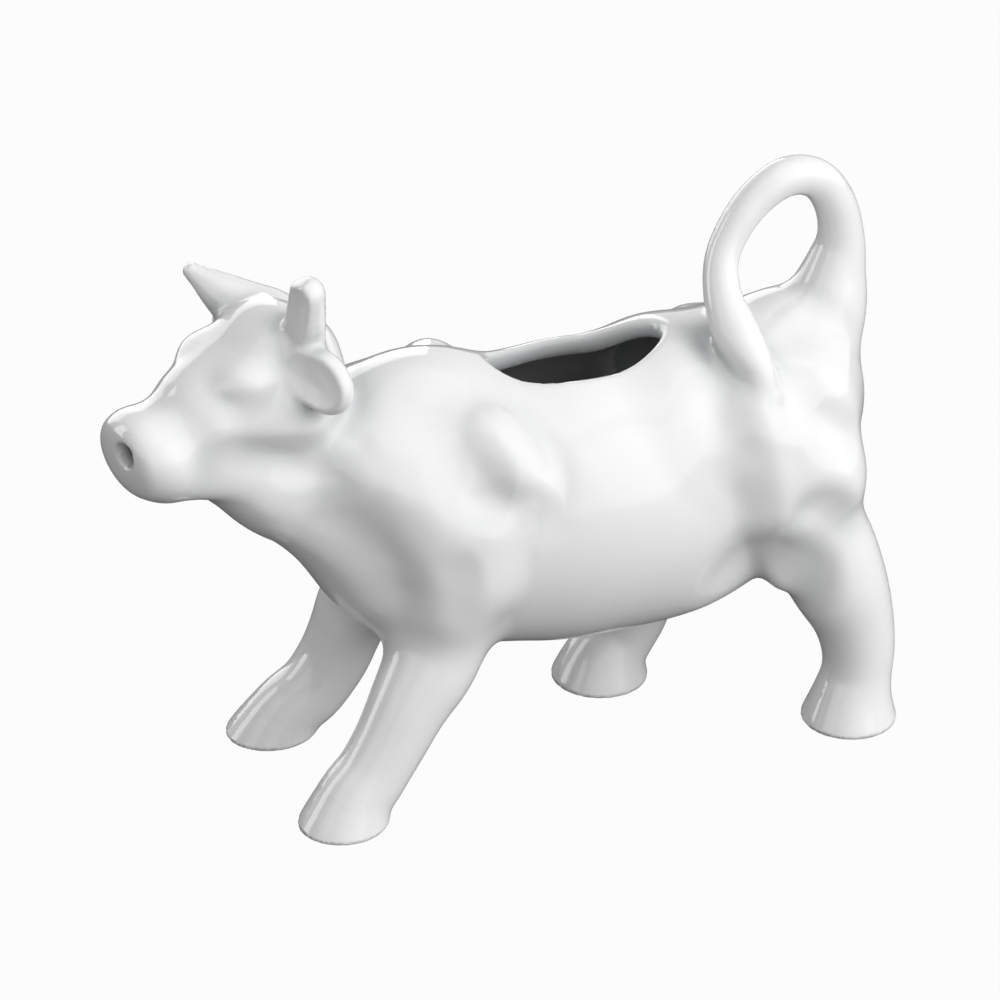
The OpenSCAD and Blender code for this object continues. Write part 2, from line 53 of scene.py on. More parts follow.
# Camera: the photograph looks down on the cow's left side from the front left,
# through a long lens.
camera_turn, camera_rise = math.radians(-21), math.radians(28)
camera_back = Vector((math.sin(camera_turn) * math.cos(camera_rise),
                      -math.cos(camera_turn) * math.cos(camera_rise), math.sin(camera_rise)))
camera_side = Vector((math.cos(camera_turn), math.sin(camera_turn), 0))
camera_up = camera_back.cross(camera_side)
camera = bpy.data.objects.new("camera", bpy.data.cameras.new("camera"))
camera.data.lens = 162
camera.data.sensor_width = 36
camera.matrix_world = (Matrix.Translation(Vector((0.0015, 0.0007, 0.055)) + 0.9 * camera_back)
                       @ Matrix((camera_side, camera_up, camera_back)).transposed().to_4x4())
bpy.context.scene.collection.objects.link(camera)
bpy.context.scene.camera = camera

# Trunk: a slip-cast barrel of porcelain, 4 mm thick, with the shoulders, thighs and rump
# modelled on it as swellings that melt into one another. All sizes here are in millimetres.
body_size = np.array([120, 54, 62.0])
body_at = np.array([17, 0, 55.5])
wall = 4


def turned(x, y, z):
    """Turns about X, then Y, then Z, in degrees."""
    return np.array((Matrix.Rotation(math.radians(z), 3, "Z") @ Matrix.Rotation(math.radians(y), 3, "Y")
                     @ Matrix.Rotation(math.radians(x), 3, "X")))


def ball(middle, radii, axes, melt, sign=1):
    """A swelling of clay: sign -1 takes it off instead."""
    middle, radii = np.asarray(middle, float), np.asarray(radii, float)
    reach = np.abs(axes) @ radii
    return ("ball", middle, radii, axes, melt, sign, middle - reach, middle + reach)


def bone(a, b, ra, rb, melt, sign=1):
    """A swelling with round ends, that goes from one radius to another."""
    a, b = np.asarray(a, float), np.asarray(b, float)
    r = max(ra, rb)
    return ("bone", a, b, (ra, rb), melt, sign, np.minimum(a, b) - r, np.maximum(a, b) + r)


def away(form, p):
    """Distance of points from one swelling, below zero inside it."""
    if form[0] == "ball":
        q = (p - form[1]) @ form[3]
        n = np.linalg.norm(q / form[2], axis=1)
        return n * (n - 1) / np.maximum(np.linalg.norm(q / form[2] ** 2, axis=1), 1e-6)
    if form[0] == "strand":
        line, r = form[1:3]
        return np.min([away(bone(a, b, r, r, 1), p) for a, b in zip(line, line[1:])], axis=0)
    a, b, (ra, rb) = form[1:4]
    way = b - a
    t = np.clip((p - a) @ way / (way @ way), 0, 1)
    return np.linalg.norm(p - a - t[:, None] * way, axis=1) - ra - t * (rb - ra)


def melted(a, b, k):
    """The nearer of two distances, with the corner between them rounded over k."""
    h = np.maximum(k - np.abs(a - b), 0)
    return np.minimum(a, b) - h * h / (4 * k)


far_off, near_by = 40.0, 6


def figure(forms, p):
    """Distance of points from all the swellings together, worked out only near each of them."""
    d = np.full(len(p), far_off)
    for form in forms:
        melt, sign, low, high = form[-4:]
        reach = melt + near_by
        near = np.flatnonzero(((p > low - reach) & (p < high + reach)).all(1))
        if len(near):
            w = away(form, p[near])
            d[near] = melted(d[near], w, melt) if sign > 0 else -melted(-d[near], w, melt)
    return d


# Each row: middle, radii, turns and melt, as shares of the trunk's length, width and depth
trunk_form_shares = [
    [[0, 0, 0], [0.385, 0.5, 0.5], [0, 0, 0], 0.1],
    [[-0.275, 0, 0.06], [0.205, 0.4, 0.46], [0, 0, 0], 0.22],
    [[-0.27, 0, 0.35], [0.12, 0.2, 0.19], [0, 8, 0], 0.18],
    [[0.29, 0, 0.13], [0.19, 0.41, 0.41], [0, 0, 0], 0.15],
    [[0.18, 0, -0.22], [0.19, 0.34, 0.235], [0, 0, 0], 0.15],
    [[0.17, 0, 0.22], [0.13, 0.4, 0.3], [0, -8, 0], 0.12],
    [[0.41, 0, 0.22], [0.11, 0.28, 0.28], [0, 0, 0], 0.12],
    [[0.385, 0.05, 0.44], [0.085, 0.14, 0.11], [0, -20, 0], 0.1]]
trunk_pair_shares = [
    [[-0.24, 0.27, 0.1], [0.09, 0.19, 0.36], [0, 10, 0], 0.1],
    [[-0.17, 0.33, 0.26], [0.06, 0.14, 0.19], [0, -28, 0], 0.08],
    [[-0.335, 0.26, 0.25], [0.08, 0.15, 0.17], [0, 20, 0], 0.1],
    [[-0.245, 0.32, -0.06], [0.075, 0.16, 0.24], [0, 16, 0], 0.08],
    [[0.285, 0.31, 0.02], [0.065, 0.17, 0.4], [0, -12, 0], 0.07],
    [[0.29, 0.22, 0.32], [0.085, 0.17, 0.13], [0, 0, 0], 0.06],
    [[0.375, 0.22, 0.24], [0.085, 0.18, 0.19], [0, -15, 0], 0.1],
    [[0.385, 0.25, 0.02], [0.085, 0.2, 0.19], [0, -10, 0], 0.1]]
trunk_pocket_shares = [
    [[-0.25, 0.54, 0.36], [0.06, 0.1, 0.16], [0, -10, 0], 0.12],
    [[0.3, 0.57, -0.2], [0.05, 0.1, 0.09], [0, 0, 0], 0.12]]
# The hollow of the left flank, in front of the hind leg
left_flank_shares = [[[0.275, 0.55, -0.3], [0.1, 0.24, 0.2], [0, 25, 0], 0.14]]
# Each crease: both ends, radius and melt
trunk_crease_shares = [
    [[-0.55, 0.39, 0.36], [-0.46, 0.46, 0.225], 0.09, 0.14],
    [[-0.46, 0.46, 0.225], [-0.39, 0.52, 0.115], 0.09, 0.14],
    [[-0.39, 0.52, 0.115], [-0.315, 0.58, -0.02], 0.09, 0.12],
    [[-0.315, 0.58, -0.02], [-0.3, 0.6, -0.2], 0.09, 0.12],
    [[0.185, 0.43, 0.44], [0.21, 0.57, 0.2], 0.08, 0.14],
    [[0.21, 0.57, 0.2], [0.25, 0.6, -0.14], 0.08, 0.14],
    [[-0.13, 0.43, 0.47], [-0.11, 0.55, 0.31], 0.07, 0.12],
    [[-0.11, 0.55, 0.31], [-0.13, 0.59, 0.16], 0.07, 0.12]]


def trunk_place(x, y, z):
    return body_at + np.array([x, y, z]) * body_size


def trunk_balls(shares, sides, sign=1):
    return [ball(trunk_place(c[0], s * c[1], c[2]), np.array(r) * body_size, turned(*a),
                 m * body_size[1], sign)
            for c, r, a, m in shares for s in sides]


def trunk_creases(shares):
    return [bone(trunk_place(a[0], s * a[1], a[2]), trunk_place(b[0], s * b[1], b[2]),
                 r * body_size[1], r * body_size[1], m * body_size[1], -1)
            for a, b, r, m in shares for s in (1, -1)]


withers_d, nape_d = 44, 29
neck = [bone(trunk_place(-0.29, 0, 0.14), trunk_place(-0.49, -0.02, 0.29),
             withers_d / 2, nape_d / 2, 0.13 * body_size[1]),
        bone(trunk_place(-0.32, 0, 0.03), trunk_place(-0.6, -0.05, 0.33),
             withers_d * 0.33, nape_d * 0.27, 0.15 * body_size[1])]
barrel = trunk_balls(trunk_form_shares, (1,))
trunk_clay = barrel + trunk_balls(trunk_pair_shares, (1, -1)) + neck
left_flank = trunk_balls(left_flank_shares, (-1,), -1)
trunk_carving = (trunk_balls(trunk_pocket_shares, (1, -1), -1) + left_flank
                 + trunk_creases(trunk_crease_shares))

# Filling opening: an oval cut through the cast wall of the back while the clay is soft.
# Its edge is sponged round and glazed over.
mouth_at = trunk_place(0.005, 0, 0)
mouth_size = np.array([36, 17.0])


def mouth(p):
    """The oval well that the cutter leaves, open at the top."""
    q = p[:, :2] - mouth_at[:2]
    n = np.linalg.norm(q / (mouth_size / 2), axis=1)
    oval = n * (n - 1) / np.maximum(np.linalg.norm(q / (mouth_size / 2) ** 2, axis=1), 1e-6)
    return np.maximum(oval, mouth_at[2] - p[:, 2])


# Head: cast with the neck, turned to the cow's left and dipped at the nose.
# The muzzle is pressed flat with a board and the pouring hole bored through it, along the head.
head_size = np.array([44, 28, 27.0])
neck_reach, head_height = 63, 93.5
head_at = np.array([body_at[0] - neck_reach, -0.05 * head_size[1], head_height])
head_axes = turned(0, -20, 14)
spout_d, spout_length = 4.8, 27
nose_board_r = 60
head_form_shares = [
    [[0, 0, 0], [0.32, 0.48, 0.48], [0, 0, 0], 0.2],
    [[-0.3, 0, 0.01], [0.34, 0.39, 0.43], [0, -4, 0], 0.2],
    [[-0.66, 0, 0.01], [0.195, 0.38, 0.39], [0, -26, 0], 0.15],
    [[-0.4, 0, -0.22], [0.32, 0.3, 0.26], [0, 0, 0], 0.15],
    [[-0.12, 0, -0.32], [0.28, 0.3, 0.26], [0, 0, 0], 0.15],
    [[0.02, 0, 0.35], [0.16, 0.34, 0.17], [0, 0, 0], 0.1]]
head_pair_shares = [
    [[-0.19, 0.25, 0.27], [0.12, 0.16, 0.12], [0, 0, 0], 0.14],
    [[-0.02, 0.3, -0.16], [0.22, 0.17, 0.2], [0, 0, 0], 0.2],
    [[-0.3, 0.16, -0.4], [0.3, 0.18, 0.14], [0, 18, 0], 0.12]]
head_pocket_shares = [
    [[-0.3, 0.52, 0.2], [0.09, 0.1, 0.1], [0, 0, 0], 0.14],
    [[-0.24, 0.58, -0.42], [0.2, 0.12, 0.08], [0, 30, 0], 0.12]]


def head_place(x, y, z):
    return head_at + head_axes @ (np.array([x, y, z]) * head_size)


def head_balls(shares, sides, sign=1):
    return [ball(head_place(c[0], s * c[1], c[2]), np.array(r) * head_size, head_axes @ turned(*a),
                 m * head_size[1], sign)
            for c, r, a, m in shares for s in sides]


head_clay = head_balls(head_form_shares, (1,)) + head_balls(head_pair_shares, (1, -1))
seat_at = trunk_place(-0.4, 0, 0.26)
seat_lean = math.radians(32)
seat_way = np.array([-math.cos(seat_lean), 0, math.sin(seat_lean)])
neck_bore_r, head_bore_r = 14, 9
spout_way = -turned(0, -6, 14)[:, 0]
spout_at = head_place(-0.816, -0.09, 0.2) - spout_length * spout_way
nose_flat = ball(head_place(-0.816, -0.09, 0.1) + nose_board_r * spout_way,
                 [nose_board_r] * 3, np.eye(3), 3, -1)
head_carving = head_balls(head_pocket_shares, (1, -1), -1) + [nose_flat]


def hollow(p):
    """The space inside: the barrel and the neck less the wall, and the head back from the muzzle."""
    room = figure(barrel + neck, p) + wall
    head_bore = bone(seat_at, head_place(-0.18, 0, 0), neck_bore_r, head_bore_r, 1)
    head_room = np.maximum(figure(barrel + neck + head_balls(head_form_shares, (1,)), p) + wall,
                           away(head_bore, p))
    return np.minimum(room, head_room)


def spout(p):
    """The pouring hole, a straight bore."""
    q = p - spout_at
    t = q @ spout_way
    return np.maximum(np.linalg.norm(q - t[:, None] * spout_way, axis=1) - spout_d / 2, -t)


# Legs: four solid legs of porcelain in a stride, each pressed in a mould of its own,
# swelling to a plain hoof at the foot and luted under the trunk at the top.
# Each row: drop, shares of the reach and of the way out, radius in leg_d and hoof_d
hoof_d, leg_d = 20, 16.4
left_front_shares = [
    [0, 0, 0, 0.56, 0], [0.22, 0.1, 0.28, 0.57, 0], [0.36, 0.24, 0.5, 0.54, 0],
    [0.5, 0.44, 0.7, 0.47, 0], [0.65, 0.62, 0.84, 0.43, 0], [0.8, 0.82, 0.94, 0.42, 0],
    [0.9, 0.98, 1, 0.26, 0.155], [1.12, 1.15, 1.12, 0, 0.485]]
right_front_shares = [
    [0, 0, 0, 0.56, 0], [0.22, 0.26, 0.28, 0.53, 0], [0.36, 0.4, 0.5, 0.48, 0],
    [0.5, 0.48, 0.7, 0.44, 0], [0.65, 0.58, 0.84, 0.43, 0], [0.8, 0.76, 0.94, 0.42, 0],
    [0.9, 0.98, 1, 0.26, 0.145], [1.12, 1.2, 1.12, 0, 0.47]]
left_hind_shares = [
    [0, 0, 0, 0.62, 0], [0.2, 0.5, 0.35, 0.64, 0], [0.385, 0.83, 0.6, 0.6, 0],
    [0.54, 1.1, 0.76, 0.5, 0], [0.69, 1.22, 0.88, 0.44, 0], [0.81, 1.18, 0.96, 0.42, 0],
    [0.91, 1.1, 0.99, 0.24, 0.2], [1.11, 1.02, 1, 0, 0.55]]
right_hind_shares = [
    [0, 0, 0, 0.6, 0], [0.3, 0.3, 0.45, 0.58, 0], [0.6, 0.64, 0.75, 0.47, 0],
    [0.74, 0.72, 0.87, 0.42, 0], [0.84, 0.82, 0.95, 0.41, 0], [0.92, 0.94, 0.98, 0.2, 0.24],
    [1.1, 1, 1, 0, 0.56]]


def smooth_line(k, steps):
    """A smooth curve through rows of points and radii."""
    k = np.array(k)
    e = np.vstack([2 * k[0] - k[1], k, 2 * k[-1] - k[-2]])
    e[0, 3], e[-1, 3] = k[0, 3], k[-1, 3]
    out = []
    for a, b, c, d in zip(e, e[1:], e[2:], e[3:]):
        for t in np.arange(steps) / steps:
            out.append((2 * b + (c - a) * t + (2 * a - 5 * b + 4 * c - d) * t ** 2
                        + (3 * b - a - 3 * c + d) * t ** 3) / 2)
    return np.array(out + [k[-1]])


def leg(shares, root, reach, out):
    """One leg from its root down, in bones short enough to look like one smooth form."""
    line = smooth_line([[root[0] + reach * s[1], root[1] + (out - root[1]) * s[2], root[2] * (1 - s[0]),
                         leg_d * s[3] + hoof_d * s[4]] for s in shares], 4)
    return [bone(a[:3], b[:3], a[3], b[3], 0.8) for a, b in zip(line, line[1:])]


shoulder_x, left_hip_x, right_hip_x = (trunk_place(x, 0, 0)[0] for x in (-0.255, 0.36, 0.325))
shoulder_y, shoulder_z, hip_y, hip_z = 10.8, 46, 10.26, 52
leg_melt = 5.5
limbs = {
    "front_left_leg": (leg(left_front_shares, (shoulder_x, -shoulder_y, shoulder_z), -23.5, -18.5), leg_melt),
    "front_right_leg": (leg(right_front_shares, (shoulder_x, shoulder_y, shoulder_z), -25, 18.5), leg_melt),
    "hind_left_leg": (leg(left_hind_shares, (left_hip_x, -hip_y, hip_z), 11.5, -17.5) + left_flank, leg_melt),
    "hind_right_leg": (leg(right_hind_shares, (right_hip_x, hip_y, hip_z), -26, 16.1), leg_melt)}

# Horns: two solid cones luted to the head, the right one long and fine and laid forward,
# the left one a stub that was pressed flat with a thumb in front and at its tip.
horn_length, horn_bow = 14, 0.06
thumb_r = 40


def horn(root, way, root_d, tip_d):
    at, run = head_place(*root), head_axes @ (np.array(way) / np.linalg.norm(way))
    side = head_axes @ np.array([0, 0, 1.0])
    line = smooth_line([[*(at + run * horn_length * s + side * horn_length * horn_bow * s * s),
                         (root_d * (1 - r) + tip_d * r) / 2]
                        for s, r in ((-0.3, -0.3), (0.1, 0.06), (0.55, 0.5), (1, 1))], 4)
    return [bone(a[:3], b[:3], a[3], b[3], 0.3) for a, b in zip(line, line[1:])]


limbs["right_horn"] = (horn((0.1, 0.31, 0.25), (-0.37, 0.61, 0.72), 12, 3.4), 2)
stub, pressed = horn((0.09, -0.31, 0.23), (0.25, -0.3, 0.9), 8.5, 7), []
for way, depth in (((-0.93, -0.34, -0.11), 2.2), ((-0.48, 0.14, 0.87), 2.8)):
    pressed.append(ball(stub[-1][2] + (thumb_r + depth) * np.array(way), [thumb_r] * 3, np.eye(3), 0.7, -1))
limbs["left_horn"] = (stub + pressed, 2)

# Ears: two paddles pressed from a pad of clay, hollowed at the front with a thumb
# and luted to the sides of the head, where they stand out and hang a little.
ear_size = np.array([8, 15, 11.5])


def ear(s):
    axes = head_axes @ turned(-s * 38, 28, -s * 24)
    root, middle = head_place(0.08, s * 0.3, 0.26), head_place(0.055, s * 0.58, 0.14)
    thumb_at = middle + axes @ (np.array([-2.25, s * 0.03, 0]) * ear_size)
    return [ball(middle, ear_size / 2, axes, 0.1),
            bone(root, middle, ear_size[2] * 0.3, ear_size[2] * 0.24, ear_size[0] * 0.4),
            ball(thumb_at, np.array([2.1, 1.15, 1.15]) * ear_size, axes, 0.9, -1)]


limbs["left_ear"] = (ear(-1), 2)
limbs["right_ear"] = (ear(1), 2)

# Tail handle: a rolled coil of clay that rises from the rump, curls over and lies down
# on the left haunch, so that a finger goes through the loop.
tail_d, tail_rise, tail_span = 7.6, 33.5, 29.3
tail_shares = [
    [0.2, 0.05, -0.62, 0.75], [0.38, 0.055, -0.36, 1], [0.44, 0.055, -0.06, 1.08], [0.5, 0.055, 0.18, 0.82],
    [0.535, 0.05, 0.4, 0.61], [0.475, 0.045, 0.64, 0.54], [0.31, 0.03, 0.83, 0.51], [0.05, 0, 0.89, 0.5],
    [-0.22, -0.02, 0.76, 0.46], [-0.43, -0.055, 0.52, 0.43], [-0.495, -0.13, 0.31, 0.48],
    [-0.46, -0.22, 0.1, 0.6], [-0.375, -0.305, -0.075, 0.45], [-0.31, -0.35, -0.21, 0.18]]
tail_at = np.array([trunk_place(0.3625, 0, 0)[0], 0, 86.5])
tail_line = np.array([[*(tail_at + np.array([x * tail_span, y * body_size[1], z * tail_rise])), r * tail_d]
                      for x, y, z, r in tail_shares])
tail_line = smooth_line(tail_line, 6)
limbs["tail_handle"] = ([bone(a[:3], b[:3], a[3], b[3], 0.4) for a, b in zip(tail_line, tail_line[1:])], 3)

# Folds: the soft ridges and furrows that the modeller worked into the hide with a tool.
# Each row: its path as shares along and up, and in millimetres its radius, how far it stands
# out of the skin or, below zero, goes into it, and its melt.
trunk_folds = [
    ([(-0.181, 0.444), (-0.159, 0.362), (-0.13, 0.224)], 4, 0.7, 4),
    ([(-0.225, 0.21), (-0.19, 0.195), (-0.155, 0.19)], 4, -0.7, 4),
    ([(-0.206, 0.093)], 8, 0.5, 5),
    ([(-0.373, 0.457)], 7, 0.5, 5),
    ([(-0.429, 0.409)], 4, -0.5, 4),
    ([(-0.5, 0.34), (-0.45, 0.27), (-0.41, 0.21), (-0.37, 0.15), (-0.34, 0.09)], 8, 1.4, 7),
    ([(-0.5, 0.2), (-0.46, 0.14), (-0.42, 0.07), (-0.39, 0.0), (-0.37, -0.07)], 6, -1.5, 7),
    ([(-0.34, 0.12), (-0.315, 0.03), (-0.3, -0.06), (-0.295, -0.17)], 5, 0.8, 5),
    ([(-0.26, -0.06)], 8, 0.6, 5),
    ([(0.29, 0.4), (0.3, 0.33), (0.3, 0.27)], 4, 0.6, 4),
    ([(0.235, 0.3), (0.225, 0.21)], 7, 1.1, 6),
    ([(0.33, 0.39), (0.355, 0.31), (0.41, 0.22)], 6, -1.1, 5),
    ([(0.325, 0.17), (0.36, 0.1), (0.4, 0.04)], 8, 1.5, 7),
    ([(0.37, -0.03), (0.395, -0.1), (0.42, -0.16)], 6, -1.3, 6),
    ([(0.34, -0.1), (0.375, -0.18), (0.418, -0.23)], 3, 0.6, 3)]
head_folds = [
    ([(-0.3, 0.26)], 4, -0.6, 4),
    ([(-0.24, 0.37)], 4, 0.4, 3),
    ([(-0.36, 0.17), (-0.28, 0.13)], 3, 0.3, 2.5),
    ([(-0.4, -0.04), (-0.25, -0.16), (-0.1, -0.25)], 6, 0.9, 5),
    ([(-0.43, -0.22), (-0.28, -0.44), (-0.12, -0.62)], 5, -1.4, 6),
    ([(-0.5, -0.4), (-0.3, -0.64)], 6, 0.7, 5)]


def strand(line, r, melt, sign):
    """A bent bone of even thickness, as one swelling."""
    line = np.array(line)
    return ("strand", line, r, melt, sign, line.min(0) - r, line.max(0) + r)


def folds(place, rows, forms):
    """Ridges and furrows laid on both sides of the skin that the forms make so far."""
    made = []
    for path, r, rise, melt in rows:
        depth = r + melt - 2 * math.sqrt(melt * abs(rise))
        for s in (1, -1):
            line = []
            for x, z in path:
                near, far = 0.0, 1.2
                for _ in range(24):
                    middle = (near + far) / 2
                    if figure(forms, place(x, s * middle, z)[None])[0] < 0:
                        near = middle
                    else:
                        far = middle
                p = place(x, s * near, z)
                way = np.array([figure(forms, np.array([p + e, p - e])) @ (1, -1) for e in 0.3 * np.eye(3)])
                line.append(p - way / np.linalg.norm(way) * math.copysign(depth, rise))
            if len(line) == 1:
                line.append(line[0] + 1e-3)
            made.append(strand(line, r, melt, 1 if rise > 0 else -1))
    return made


skin_clay = trunk_clay + head_clay + trunk_carving + head_carving
skin_clay = (skin_clay + folds(trunk_place, trunk_folds, skin_clay)
             + folds(head_place, head_folds, skin_clay))

# Luting: the castings are joined with slip and the joins are sponged away, so the skin runs
# over them without a line. Each casting is still a closed piece of its own, cut from that skin.
lip_round, spout_round, sole_round = 2.2, 1.1, 1.2


def clay(p):
    return figure(skin_clay, p)


def outside(p):
    d = clay(p)
    for forms, melt in limbs.values():
        d = melted(d, figure(forms, p), melt)
    return -melted(-d, p[:, 2], sole_round)


def creamer(p):
    d = np.maximum(outside(p), -hollow(p))
    d = -melted(-d, mouth(p), lip_round)
    return -melted(-d, spout(p), spout_round)


def in_parts(field, p):
    """The field at very many points, a batch at a time to spare memory."""
    batch = 150000
    return np.concatenate([field(part) for part in np.array_split(p, len(p) // batch + 1)])


def skin_mesh(field, low, high, step):
    """Points and four-sided faces where the field crosses zero, from a grid of that step."""
    n = np.ceil((high - low) / step).astype(int) + 1
    lines = [low[i] + step * np.arange(n[i]) for i in range(3)]
    grid = np.stack(np.meshgrid(*lines, indexing="ij"), -1).reshape(-1, 3)
    # Every third point is worked out first, and the rest only where the surface is close
    skip = 3
    coarse = tuple(np.minimum(skip * np.round(np.arange(size) / skip).astype(int), size - 1) for size in n)
    blocks = np.zeros(n, bool)
    blocks[np.ix_(*[np.unique(c) for c in coarse])] = True
    f = np.full(n, far_off).ravel()
    f[blocks.ravel()] = in_parts(field, grid[blocks.ravel()])
    f = f.reshape(n)[np.ix_(*coarse)]
    close = np.abs(f) < skip * step + 1
    f[close] = in_parts(field, grid[close.ravel()])
    total, count = np.zeros((*(n - 1), 3)), np.zeros(n - 1)
    crossings = []
    for axis in range(3):
        fa, fb = np.moveaxis(f, axis, 0)[:-1], np.moveaxis(f, axis, 0)[1:]
        i, j, k = np.nonzero((fa < 0) != (fb < 0))
        t = fa[i, j, k] / (fa[i, j, k] - fb[i, j, k])
        at = np.stack([i, j, k], 1)[:, [[0, 1, 2], [1, 0, 2], [1, 2, 0]][axis]]
        place = low + step * (at + t[:, None] * np.eye(3)[axis])
        others = [x for x in range(3) if x != axis]
        ring = []
        for u, v in ((0, 0), (-1, 0), (-1, -1), (0, -1)):
            cell = at.copy()
            cell[:, others[0]] += u
            cell[:, others[1]] += v
            ok = (cell >= 0).all(1) & (cell < n - 1).all(1)
            np.add.at(total, tuple(cell[ok].T), place[ok])
            np.add.at(count, tuple(cell[ok].T), 1)
            ring.append(np.ravel_multi_index(tuple(np.clip(cell, 0, n - 2).T), n - 1))
        ring = np.stack(ring, 1)
        flip = (fa[i, j, k] < 0) ^ (axis == 1)
        ring[~flip] = ring[~flip][:, ::-1]
        crossings.append(ring)
    used = np.flatnonzero(count.ravel())
    number = np.full(count.size, -1)
    number[used] = np.arange(len(used))
    return total.reshape(-1, 3)[used] / count.ravel()[used][:, None], number[np.concatenate(crossings)]


def slope(field, p, d=0.05):
    """Which way the field rises at points, and how steeply."""
    return np.stack([field(p + d * e) - field(p - d * e) for e in np.eye(3)], 1) / (2 * d)


def settled(field, p, most, rounds=3):
    """Points moved onto the field's zero surface, by at most this much each time."""
    for _ in range(rounds):
        g = slope(field, p)
        p = p + np.clip(-(field(p) / np.maximum((g * g).sum(1), 0.25))[:, None] * g, -most, most)
    return p


box_low, box_high = np.array(cad_low) * 1000, np.array(cad_high) * 1000
step = 0.72
low_margin, high_margin = 2.1, 2
points, faces = skin_mesh(creamer, box_low - low_margin, box_high + high_margin, step)
points = settled(creamer, points, step / 2)
normals = slope(creamer, points)
normals /= np.maximum(np.linalg.norm(normals, axis=1), 1e-6)[:, None]


def largest(faces):
    """Which faces hang together with the largest number of others."""
    label = np.arange(faces.max() + 1)
    while True:
        low = label[faces].min(1)
        new = label.copy()
        np.minimum.at(new, faces.ravel(), np.repeat(low, faces.shape[1]))
        new = new[new]
        if (new == label).all():
            break
        label = new
    return label[faces[:, 0]] == np.bincount(label[faces[:, 0]]).argmax()


# Each face goes to the casting whose clay it lies in: the seat parts the head from the trunk
centres = points[faces].mean(1)
ahead = ((centres - seat_at) @ seat_way > 0).astype(int)
nearest, owner, on_skin = clay(centres), ahead.copy(), outside(centres) > -0.7
for number, (forms, melt) in enumerate(limbs.values(), 2):
    d = figure(forms, centres)
    mine = np.flatnonzero(on_skin & (d < nearest))
    mine = mine[largest(faces[mine])]
    owner[mine], nearest[mine] = number, d[mine]


def open_loops(faces):
    """The open edges of a piece, chained the way that closing faces run."""
    edges = np.concatenate([faces[:, [i, (i + 1) % 4]] for i in range(4)])
    size = faces.max() + 1
    ahead_key, back_key = edges[:, 0] * size + edges[:, 1], edges[:, 1] * size + edges[:, 0]
    following = {}
    for a, b in edges[~np.isin(ahead_key, back_key)].tolist():
        following.setdefault(b, []).append(a)
    loops = []
    while following:
        start = next(iter(following))
        loop, at = [], start
        while at in following:
            loop.append(at)
            ways = following[at]
            at = ways.pop()
            if not ways:
                del following[loop[-1]]
        loops.append(loop)
    return loops


def patch(loop):
    """Rings of points that close a loop, laid on the clay just under the skin."""
    rim, middle = points[loop], points[loop].mean(0)
    rings = np.concatenate([rim + (middle - rim) * t for t in (0.25, 0.5, 0.75)] + [middle[None]])
    return settled(lambda q: clay(q) + 1, rings, 1.5, 4)


def seam(outer, inner):
    """Faces between the two rims of a cut wall."""
    u, v = np.array([0, 1.0, 0]), np.cross(seat_way, [0, 1.0, 0])
    turns = []
    inner = inner[::-1]
    for loop in (outer, inner):
        q = points[loop] - seat_at
        turns.append(np.arctan2(q @ v, q @ u))
    first = np.abs(np.angle(np.exp(1j * (turns[1] - turns[0][0])))).argmin()
    inner, turns[1] = inner[first:] + inner[:first], np.roll(turns[1], -first)
    runs = []
    for turn in turns:
        gone = np.concatenate([[0], np.cumsum(np.angle(np.exp(1j * np.diff(np.append(turn, turn[0])))))])
        runs.append(np.abs(gone))
    i = j = 0
    made = []
    while i < len(outer) or j < len(inner):
        a, b = outer[i % len(outer)], inner[j % len(inner)]
        if j == len(inner) or (i < len(outer) and runs[0][i + 1] <= runs[1][j + 1]):
            made.append((a, outer[(i + 1) % len(outer)], b))
            i += 1
        else:
            made.append((a, inner[(j + 1) % len(inner)], b))
            j += 1
    return made


def casting(faces):
    """The points, normals and faces of one closed piece."""
    loops = sorted(open_loops(faces), key=len)
    extra_faces, extra = [], []
    # The two rims that the seat's plane leaves in the wall of the neck
    off_plane, off_middle, fewest = 1.2, 14, 20
    cut = [loop for loop in loops if np.abs((points[loop] - seat_at) @ seat_way).mean() < off_plane
           and np.linalg.norm(points[loop].mean(0) - seat_at) < off_middle and len(loop) > fewest]
    if len(cut) == 2:
        extra_faces += seam(cut[1], cut[0])
        loops = [loop for loop in loops if loop not in cut]
    total = len(points)
    for loop in loops:
        n = len(loop)
        rings = [loop] + [[total + k * n + i for i in range(n)] for k in range(3)]
        total += 3 * n + 1
        extra.append(patch(loop))
        for a, b in zip(rings, rings[1:]):
            extra_faces += [(a[i], a[(i + 1) % n], b[(i + 1) % n], b[i]) for i in range(n)]
        extra_faces += [(rings[3][i], rings[3][(i + 1) % n], total - 1) for i in range(n)]
    places = np.concatenate([points, *extra]) if extra else points
    ways = np.concatenate([normals, np.tile([0, 0, 1.0], (len(places) - len(points), 1))])
    every = faces.tolist() + [list(face) for face in extra_faces]
    used = np.unique(np.concatenate([np.array(face) for face in every]))
    number = np.full(len(places), -1)
    number[used] = np.arange(len(used))
    return places[used], ways[used], [number[np.array(face)].tolist() for face in every]


